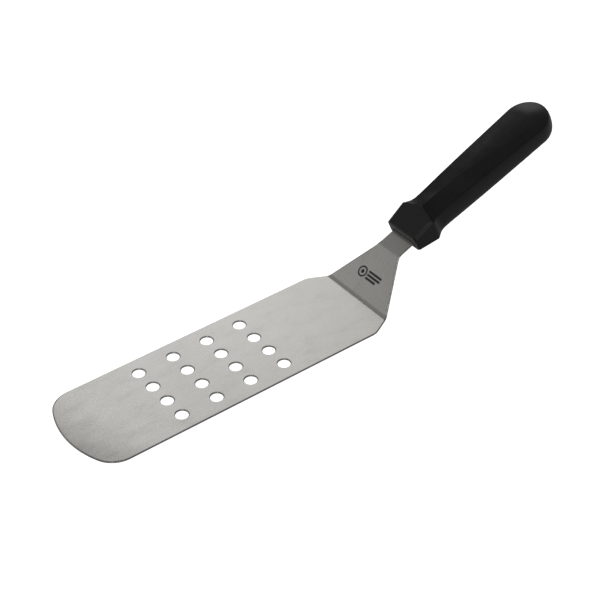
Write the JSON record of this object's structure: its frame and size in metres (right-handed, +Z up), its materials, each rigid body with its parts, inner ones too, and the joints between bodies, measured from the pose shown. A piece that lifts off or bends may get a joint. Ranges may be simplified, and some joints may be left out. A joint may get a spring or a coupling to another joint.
{
  "type": "grill spatula",
  "caption": "Offset grill spatula with a flat perforated steel blade, a bent shank and a moulded plastic handle.",
  "frame": {"origin": "on the resting surface, under the middle of the whole spatula's length and width", "axes": "+X from the blade's tip to the handle's butt, +Y across the blade, +Z up from the blade's underside"},
  "size_m": [0.392, 0.076, 0.0895],
  "materials": {
    "steel": "satin stainless sheet with a fine lengthwise brushed grain",
    "handle_plastic": "matte moulded polypropylene with a fine grain"
  },
  "bodies": {
    "root": {"blade": "steel", "handle": "handle_plastic"}
  },
  "joints": []
}
